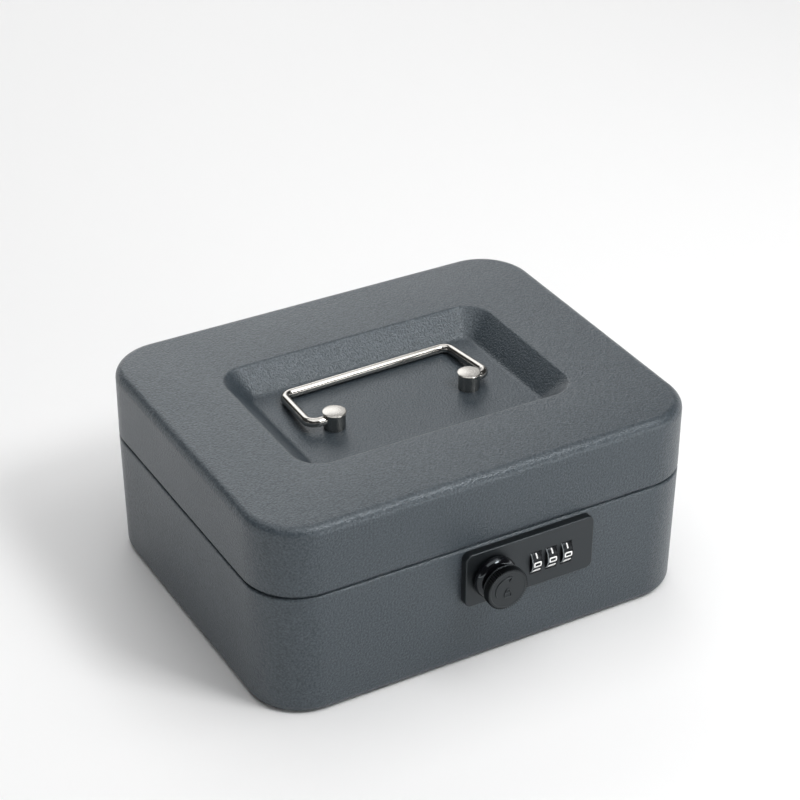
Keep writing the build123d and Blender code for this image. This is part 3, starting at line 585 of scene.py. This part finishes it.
def build_knob_mark():
    """Raised marks on the knob's face: an arrow that shows which way it turns, and a padlock."""
    low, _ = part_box("knob")
    face = low.y + MARK_PROUD + FACE_DISH
    bm = bmesh.new()

    def place(across, up, out):
        return on_knob(across, up, face - out)

    def draw(points, closed=False, round_by=MARK_ROUND):
        add_stroke(bm, points, place, MARK_WIDTH, MARK_PROUD + FACE_DISH, MARK_SINK, closed, round_by)

    sweep = [radians(angle) for angle in ARROW_SWEEP]
    arrow = [(ARROW_RADIUS * cos(angle), ARROW_RADIUS * sin(angle)) for angle in sweep]
    draw(arrow)
    tip = Vector(arrow[-1])
    draw([tip + Vector(ARROW_BARBS[0]), tip, tip + Vector(ARROW_BARBS[1])])
    half, low_edge, high_edge = PADLOCK_HALF_WIDTH, PADLOCK_LOW, PADLOCK_HIGH
    body = [(-half, low_edge), (half, low_edge), (half, high_edge), (-half, high_edge)]
    draw(body, True, PADLOCK_ROUND)
    shackle = []
    for angle in (radians(turn) for turn in range(0, 181, 20)):
        shackle.append((SHACKLE_HALF_WIDTH * cos(angle), high_edge + SHACKLE_HEIGHT * sin(angle)))
    draw(shackle)
    return finish_mesh("knob_mark", bm, 50)


# ---------------------------------------------------------------- dials
DIAL_BORE = 5.0 * MM                # radius
DIAL_STEPS = 240
DIAL_BEAD = 0.28 * MM               # radius of the bead round each edge
DIAL_TREAD_DEPTH = 0.12 * MM        # the tread lies this far inside the beads
DIAL_TREAD_START = 2.1              # and starts this many bead radii from the edge
RIM_HIGHLIGHT = (1.5, 1.6)              # width and depth of the pale painted highlight on the left edge, in bead radii
NOTCH_DEPTH = 0.22 * MM
NOTCH_POWER = 6                     # a higher power makes a narrower notch
NUMBER_HALF_WIDTH = 1.5 * MM        # of the stroke's middle line
NUMBER_HALF_HEIGHT = 0.93 * MM
NUMBER_STROKE = 0.66 * MM
NUMBER_RISE = 0.07 * MM
NUMBER_SINK = 0.1 * MM
NUMBER_ROUND = 0.38 * MM
LEFT, RIGHT, LOW, MID, TOP = -1, 1, -1, 0, 1
NUMBERS = [
    [((LEFT, TOP), (RIGHT, TOP), (RIGHT, LOW), (LEFT, LOW), (LEFT, TOP))],
    [((MID, TOP), (MID, LOW))],
    [((LEFT, TOP), (RIGHT, TOP), (RIGHT, MID), (LEFT, MID), (LEFT, LOW), (RIGHT, LOW))],
    [((LEFT, TOP), (RIGHT, TOP), (RIGHT, LOW), (LEFT, LOW)), ((LEFT / 2, MID), (RIGHT, MID))],
    [((LEFT, TOP), (LEFT, MID), (RIGHT, MID)), ((RIGHT, TOP), (RIGHT, LOW))],
    [((RIGHT, TOP), (LEFT, TOP), (LEFT, MID), (RIGHT, MID), (RIGHT, LOW), (LEFT, LOW))],
    [((RIGHT, TOP), (LEFT, TOP), (LEFT, LOW), (RIGHT, LOW), (RIGHT, MID), (LEFT, MID))],
    [((LEFT, TOP), (RIGHT, TOP), (RIGHT, LOW))],
    [((LEFT, TOP), (RIGHT, TOP), (RIGHT, LOW), (LEFT, LOW), (LEFT, TOP)), ((LEFT, MID), (RIGHT, MID))],
    [((RIGHT, MID), (LEFT, MID), (LEFT, TOP), (RIGHT, TOP), (RIGHT, LOW), (LEFT, LOW))],
]


def dial_frame(index):
    """Middle, radius and half width of a dial."""
    low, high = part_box(f"dial_wheel_{index}")
    middle = (low + high) / 2
    middle.y = joint_place(f"dial_{index}_turn").y
    middle.z = joint_place(f"dial_{index}_turn").z
    return middle, (high.y - low.y) / 2, (high.x - low.x) / 2


def build_dial(index):
    """Number wheel with a bead round each edge, the left one pale grey as a painted highlight, and a notch between
    numbers.
    """
    middle, radius, half = dial_frame(index)
    bead = DIAL_BEAD
    tread = radius - DIAL_TREAD_DEPTH
    profile = [(DIAL_BORE, -half)]
    profile += arc_profile((radius - bead, -half + bead), bead, -90, 60)
    profile += [(tread, -half + DIAL_TREAD_START * bead), (tread, half - DIAL_TREAD_START * bead)]
    profile += arc_profile((radius - bead, half - bead), bead, -60, 90)
    profile += [(DIAL_BORE, half), (DIAL_BORE, -half)]
    bm = bmesh.new()
    rows = []
    for radial, along in profile:
        row = []
        for step in range(DIAL_STEPS):
            angle = 2 * pi * step / DIAL_STEPS
            between_numbers = max(0.0, -cos(len(NUMBERS) * angle)) ** NOTCH_POWER
            r = radial - (NOTCH_DEPTH * between_numbers if radial > DIAL_BORE else 0)
            row.append(Vector((middle.x + along, middle.y - r * cos(angle), middle.z + r * sin(angle))))
        rows.append(row)
    skin_rings(bm, rows, False, False)
    bmesh.ops.remove_doubles(bm, verts=bm.verts, dist=0.001 * MM)
    wheel = finish_mesh(f"dial_{index}_wheel", bm, 40)
    wheel.data.materials.append(MATERIALS["dial_plastic"])
    wheel.data.materials.append(MATERIALS["dial_rim_highlight"])
    # the outer band of the left bead gets the pale grey: a painted highlight
    rim_width, rim_depth = RIM_HIGHLIGHT
    for polygon in wheel.data.polygons:
        to_left = middle.x - polygon.center.x
        reach = hypot(polygon.center.y - middle.y, polygon.center.z - middle.z)
        on_rim_highlight = to_left > half - rim_width * bead and reach > radius - rim_depth * bead
        polygon.material_index = int(on_rim_highlight)
    return wheel


def build_numbers(index):
    """The ten numbers of a dial, raised from its tread; nought faces the front."""
    middle, radius, _ = dial_frame(index)
    tread = radius - DIAL_TREAD_DEPTH
    bm = bmesh.new()
    for number, strokes in enumerate(NUMBERS):
        turn = number * 2 * pi / len(NUMBERS)

        def place(across, up, out, turn=turn):
            angle = turn + up / radius
            r = tread + out
            return Vector((middle.x + across, middle.y - r * cos(angle), middle.z + r * sin(angle)))

        for stroke in strokes:
            closed = stroke[0] == stroke[-1]
            points = [(across * NUMBER_HALF_WIDTH, up * NUMBER_HALF_HEIGHT) for across, up in stroke]
            points = points[:-1] if closed else points
            add_stroke(bm, points, place, NUMBER_STROKE, NUMBER_RISE, NUMBER_SINK, closed, NUMBER_ROUND)
    return finish_mesh(f"dial_{index}_numbers", bm, 60)


# ---------------------------------------------------------------- materials
def material(name):
    """Empty node material with its output and main shader."""
    made = bpy.data.materials.new(name)
    made.use_nodes = True
    return made, made.node_tree, made.node_tree.nodes["Principled BSDF"]


def slot_colour(slot_name):
    """Colour of one of the record's material slots."""
    for entry in frame["record"]["materials"]:
        if entry["slot"] == slot_name:
            return tuple(entry["base_color"][:3]) + (1,)
    raise ValueError(slot_name)


def node(tree, kind, inputs=None, **settings):
    """Shader node with its settings and input values."""
    made = tree.nodes.new(kind)
    for key, value in settings.items():
        setattr(made, key, value)
    for key, value in (inputs or {}).items():
        made.inputs[key].default_value = value
    return made


def object_noise(tree, scale, detail=2.0, roughness=0.5, stretch=(1, 1, 1)):
    """Noise fixed to the object; scale is in features per metre."""
    place = node(tree, "ShaderNodeTexCoord")
    mapping = node(tree, "ShaderNodeMapping", {"Scale": stretch})
    noise = node(tree, "ShaderNodeTexNoise", {"Scale": scale, "Detail": detail, "Roughness": roughness})
    tree.links.new(place.outputs["Object"], mapping.inputs["Vector"])
    tree.links.new(mapping.outputs["Vector"], noise.inputs["Vector"])
    return noise.outputs["Fac"]


def ranged(tree, value, low, high, from_low=0.3, from_high=0.7):
    """Value mapped to a range; noise mostly lies between 0.3 and 0.7."""
    limits = {"From Min": from_low, "From Max": from_high, "To Min": low, "To Max": high}
    made = node(tree, "ShaderNodeMapRange", limits)
    tree.links.new(value, made.inputs["Value"])
    return made.outputs["Result"]


def shaded(tree, colour, value, low, high):
    """Colour made lighter and darker by a value."""
    mixed = node(tree, "ShaderNodeMix", data_type="RGBA", blend_type="MULTIPLY")
    mixed.inputs["Factor"].default_value = 1.0
    mixed.inputs["A"].default_value = colour
    tree.links.new(ranged(tree, value, low, high), mixed.inputs["B"])
    return mixed.outputs["Result"]


def bumped(tree, shader, layers):
    """Bumps on a shader, from (value, depth in metres, strength) layers."""
    normal = None
    for value, depth, strength in layers:
        bump = node(tree, "ShaderNodeBump", {"Strength": strength, "Distance": depth})
        tree.links.new(value, bump.inputs["Height"])
        if normal is not None:
            tree.links.new(normal, bump.inputs["Normal"])
        normal = bump.outputs["Normal"]
    tree.links.new(normal, shader.inputs["Normal"])


# Colours are linear. Grain, cloud, marks and rings are in features per metre
COAT_COLOUR, COAT_TINT = (0.036, 0.046, 0.055, 1), (0.90, 0.96, 1.0, 1)
COAT_GRAIN, COAT_CLOUD = 1150, 25
COAT_ROUGHNESS = (0.30, 0.35)
COAT_SHADED_GLOSS = (0.36, 0.62)           # lower in the grain's hollows and higher on its crests: painted shade and painted highlight of the grain
COAT_IOR = 1.55
PLASTIC_TINT = (0.85, 0.94, 1.0, 1)
PLASTIC_GRAIN, PLASTIC_CLOUD = 2200, 120
NICKEL = (0.44, 0.425, 0.40, 1)
NICKEL_ROUGHNESS = (0.16, 0.28)     # of the turned posts
TURNING_RINGS = 60                  # across a post
NUMBER_WHITE, NUMBER_GRAIN, NUMBER_ROUGHNESS = (0.86, 0.86, 0.85, 1), 2500, 0.45


def powder_coat():
    """Dark blue-grey powder coat with a fine leathery grain, darker in colour and gloss in the grain's hollows and
    lighter on its crests as painted shade and painted highlight.
    """
    made, tree, shader = material("powder_coat")
    grain = object_noise(tree, COAT_GRAIN, 2.0, 0.6)
    cloud = object_noise(tree, COAT_CLOUD, 2.0)
    # painted shade and highlight: the colour is darker in the grain's hollows and lighter on its crests
    tree.links.new(shaded(tree, COAT_COLOUR, grain, 0.75, 1.25), shader.inputs["Base Color"])
    tree.links.new(ranged(tree, cloud, *COAT_ROUGHNESS), shader.inputs["Roughness"])
    # painted shade and highlight: less reflection in the grain's hollows, more on its crests
    tree.links.new(ranged(tree, grain, *COAT_SHADED_GLOSS), shader.inputs["Specular IOR Level"])
    shader.inputs["IOR"].default_value = COAT_IOR
    shader.inputs["Specular Tint"].default_value = COAT_TINT
    bumped(tree, shader, [(cloud, 0.4 * MM, 0.05), (grain, 0.3 * MM, 1.0)])
    return made


def plastic(name, colour, roughness, grain_depth, gloss=0.5):
    """Moulded plastic with a spark-eroded grain."""
    made, tree, shader = material(name)
    grain = object_noise(tree, PLASTIC_GRAIN, 2.0)
    cloud = object_noise(tree, PLASTIC_CLOUD, 2.0)
    tree.links.new(shaded(tree, colour, cloud, 0.88, 1.12), shader.inputs["Base Color"])
    tree.links.new(ranged(tree, cloud, roughness * 0.92, roughness * 1.08), shader.inputs["Roughness"])
    shader.inputs["Specular IOR Level"].default_value = gloss
    shader.inputs["Specular Tint"].default_value = PLASTIC_TINT
    bumped(tree, shader, [(grain, grain_depth, 0.5)])
    return made


def metal(name, colour, roughness, marks_scale=900, stretch=(1, 1, 1), depth=0.01 * MM):
    """Metal with fine marks; an axis with a smaller stretch than the others has longer marks."""
    made, tree, shader = material(name)
    marks = object_noise(tree, marks_scale, 4.0, 0.6, stretch)
    tree.links.new(shaded(tree, colour, marks, 0.9, 1.08), shader.inputs["Base Color"])
    shader.inputs["Metallic"].default_value = 1.0
    tree.links.new(ranged(tree, marks, roughness * 0.85, roughness * 1.15), shader.inputs["Roughness"])
    bumped(tree, shader, [(marks, depth, 0.1)])
    return made


def turned_nickel():
    """Bright plating over the fine rings that turning leaves round a post."""
    made, tree, shader = material("turned_nickel")
    place = node(tree, "ShaderNodeTexCoord")
    centred = node(tree, "ShaderNodeMapping", {"Location": (-0.5, -0.5, 0), "Scale": (1, 1, 0)})
    radius = node(tree, "ShaderNodeVectorMath", operation="LENGTH")
    shape = {"Scale": TURNING_RINGS, "Detail": 3.0}
    rings = node(tree, "ShaderNodeTexNoise", shape, noise_dimensions="1D")
    tree.links.new(place.outputs["Generated"], centred.inputs["Vector"])
    tree.links.new(centred.outputs["Vector"], radius.inputs[0])
    tree.links.new(radius.outputs["Value"], rings.inputs["W"])
    tree.links.new(shaded(tree, NICKEL, rings.outputs["Fac"], 0.85, 1.1), shader.inputs["Base Color"])
    shader.inputs["Metallic"].default_value = 1.0
    tree.links.new(ranged(tree, rings.outputs["Fac"], *NICKEL_ROUGHNESS), shader.inputs["Roughness"])
    bumped(tree, shader, [(rings.outputs["Fac"], 0.03 * MM, 0.5)])
    return made


def number_paint():
    """White paint of the dials' numbers."""
    made, tree, shader = material("number_paint")
    grain = object_noise(tree, NUMBER_GRAIN, 2.0)
    tree.links.new(shaded(tree, NUMBER_WHITE, grain, 0.95, 1.0), shader.inputs["Base Color"])
    shader.inputs["Roughness"].default_value = NUMBER_ROUGHNESS
    bumped(tree, shader, [(grain, 0.01 * MM, 0.3)])
    return made


def paint(obj, made):
    """Shows an object in one material."""
    obj.data.materials.clear()
    obj.data.materials.append(made)


# ---------------------------------------------------------------- light and camera
CAMERA_AZIMUTH = radians(-29.715)
CAMERA_ELEVATION = radians(31.607)
CAMERA_ROLL = radians(0.346)
CAMERA_DISTANCE = 0.98802
CAMERA_AIM = (0.00184, 0.02873)     # of the view's middle from the box's middle, right and up
CAMERA_HEIGHT = 0.045               # of the box's middle
LENS, SENSOR = 104.54, 36.0         # in millimetres
CLIP_START = 0.05


def add_camera():
    """Camera at the viewing angle, with the box a little below the middle of its view."""
    a, e = CAMERA_AZIMUTH, CAMERA_ELEVATION
    back = Vector((sin(a) * cos(e), -cos(a) * cos(e), sin(e)))
    level = (-back).cross(Vector((0, 0, 1))).normalized()
    upright = level.cross(-back)
    right = cos(CAMERA_ROLL) * level + sin(CAMERA_ROLL) * upright
    up = cos(CAMERA_ROLL) * upright - sin(CAMERA_ROLL) * level
    camera = bpy.data.cameras.new("camera")
    camera.lens = LENS
    camera.sensor_width = SENSOR
    camera.clip_start = CLIP_START
    obj = add_object("camera", camera)
    place = Vector((0, 0, CAMERA_HEIGHT)) + back * CAMERA_DISTANCE
    place += right * CAMERA_AIM[0] + up * CAMERA_AIM[1]
    turn = Matrix((right, up, back)).transposed()
    obj.matrix_world = Matrix.Translation(place) @ turn.to_4x4()
    bpy.context.scene.camera = obj


def area_light(name, place, target, size, power):
    """Rectangular soft box aimed at a point."""
    lamp = bpy.data.lights.new(name, "AREA")
    lamp.shape = "RECTANGLE"
    lamp.size, lamp.size_y = size
    lamp.energy = power
    obj = add_object(name, lamp)
    obj.location = place
    obj.rotation_euler = (place - Vector(target)).to_track_quat("Z", "Y").to_euler()


# name, direction from the box, distance, size, power in watts
LIGHTS = (
    ("key", (0.30, -0.55, 0.78), 1.3, (0.32, 0.32), 6.8),
    ("high_key", (0.42, -0.29, 0.86), 1.3, (0.5, 0.5), 2.0),
    ("back", (0.25, 0.80, 0.55), 1.6, (1.4, 1.0), 4.8),
    ("back_core", (0.20, 0.80, 0.55), 1.6, (0.8, 0.6), 2.1),
    ("front", (0.42, -0.89, 0.12), 1.5, (0.8, 0.4), 4.9),
    ("top", (0.0, 0.0, 1.0), 1.5, (1.6, 1.6), 14.5),
    ("left", (-0.97, -0.10, 0.25), 1.5, (0.5, 0.2), 0.5),
)
LIGHT_TARGET = (0, 0, 0.05)
HORIZON_LIGHT = 3.1                 # the world's strength at the horizon
DOME_LIGHT = 0.05                   # and from there up
HORIZON_TOP = 0.2                   # height of the band between them, as a share of the way up
FLOOR_REACH = 4.0
FLOOR_COLOUR, FLOOR_ROUGHNESS = (0.9, 0.9, 0.9, 1), 0.9


def add_stage():
    """Pale floor, soft boxes and a world that glows at the horizon."""
    bm = bmesh.new()
    bmesh.ops.create_grid(bm, x_segments=1, y_segments=1, size=FLOOR_REACH)
    floor = finish_mesh("floor", bm)
    made, _, shader = material("floor")
    shader.inputs["Base Color"].default_value = FLOOR_COLOUR
    shader.inputs["Roughness"].default_value = FLOOR_ROUGHNESS
    paint(floor, made)
    for name, direction, distance, size, power in LIGHTS:
        area_light(name, Vector(direction).normalized() * distance, LIGHT_TARGET, size, power)
    world = bpy.data.worlds.new("world")
    world.use_nodes = True
    tree = world.node_tree
    background = tree.nodes["Background"]
    background.inputs["Color"].default_value = (1, 1, 1, 1)
    coords = node(tree, "ShaderNodeTexCoord")
    parts = node(tree, "ShaderNodeSeparateXYZ")
    tree.links.new(coords.outputs["Generated"], parts.inputs[0])
    glow = ranged(tree, parts.outputs["Z"], HORIZON_LIGHT, DOME_LIGHT, 0.0, HORIZON_TOP)
    tree.links.new(glow, background.inputs["Strength"])
    bpy.context.scene.world = world
    bpy.context.scene.view_settings.view_transform = "Standard"


# ---------------------------------------------------------------- assembly
# plastic: colour, roughness, depth of grain, gloss. metal: colour, roughness, marks per metre, stretch
MATERIALS = {
    "powder_coat": powder_coat(),
    "plate_plastic": plastic("plate_plastic", (0.0035, 0.0045, 0.0055, 1), 0.42, 0.05 * MM, 0.6),
    "knob_plastic": plastic("knob_plastic", (0.004, 0.0045, 0.005, 1), 0.45, 0.05 * MM, 0.55),
    "collar_gloss": plastic("collar_gloss", (0.003, 0.003, 0.004, 1), 0.12, 0.001 * MM),
    "dial_plastic": plastic("dial_plastic", (0.006, 0.006, 0.007, 1), 0.35, 0.02 * MM, 0.25),
    # pale grey of the dials' left beads: a painted highlight
    "dial_rim_highlight": plastic("dial_rim_highlight", (0.20, 0.22, 0.23, 1), 0.4, 0.01 * MM),
    "bright_nickel": metal("bright_nickel", NICKEL, 0.16, 900, (0.12, 1, 1)),
    "zinc_plate": metal("zinc_plate", slot_colour("zinc_plate"), 0.3),
    "die_casting": metal("die_casting", slot_colour("die_casting"), 0.55, 2500, depth=0.03 * MM),
    "bolt_brass": metal("bolt_brass", slot_colour("bolt_brass"), 0.28, 1500, (6, 1, 1)),
    "spring_steel": metal("spring_steel", slot_colour("spring_steel"), 0.25, 1200, (1, 1, 0.1)),
    "lever_plastic": plastic("lever_plastic", slot_colour("lever_plastic"), 0.4, 0.02 * MM),
    "tray_plastic": plastic("tray_plastic", slot_colour("tray_plastic"), 0.5, 0.06 * MM),
}
CAD_SHARP = 30
for entry in frame["record"]["subparts"]:
    cad = frame["nodes"][entry["node"]]
    paint(cad, MATERIALS[entry["material_slot"]])
    cad.data.shade_smooth()
    cad.data.set_sharp_from_angle(angle=radians(CAD_SHARP))


def show(piece, made, body, slot_name, *cad_nodes):
    """Finishes a piece: its material, the body it moves with and the CAD nodes it stands for."""
    if made:
        paint(piece, made)
    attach(piece, body)
    if cad_nodes:
        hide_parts(*cad_nodes)


show(build_case(), MATERIALS["powder_coat"], "case", "powder_coat", "case_shell")
show(build_lid(), MATERIALS["powder_coat"], "lid", "powder_coat", "lid_shell")
TURNED_NICKEL = turned_nickel()
for post_node in ("handle_post_left", "handle_post_right"):
    show(build_post(post_node), TURNED_NICKEL, "lid", "bright_nickel", post_node)
show(build_bail(), MATERIALS["bright_nickel"], "bail", "bright_nickel", "handle_bail")
show(build_collar(), MATERIALS["collar_gloss"], "case", "collar_gloss", "knob_collar")
show(build_knob(), MATERIALS["knob_plastic"], "knob", "knob_plastic", "knob")
show(build_knob_mark(), MATERIALS["knob_plastic"], "knob", "knob_plastic")
NUMBER_PAINT = number_paint()
for dial in (1, 2, 3):
    show(build_dial(dial), None, f"dial_{dial}", "dial_plastic", f"dial_wheel_{dial}")
    show(build_numbers(dial), NUMBER_PAINT, f"dial_{dial}", "dial_plastic")

add_stage()
add_camera()
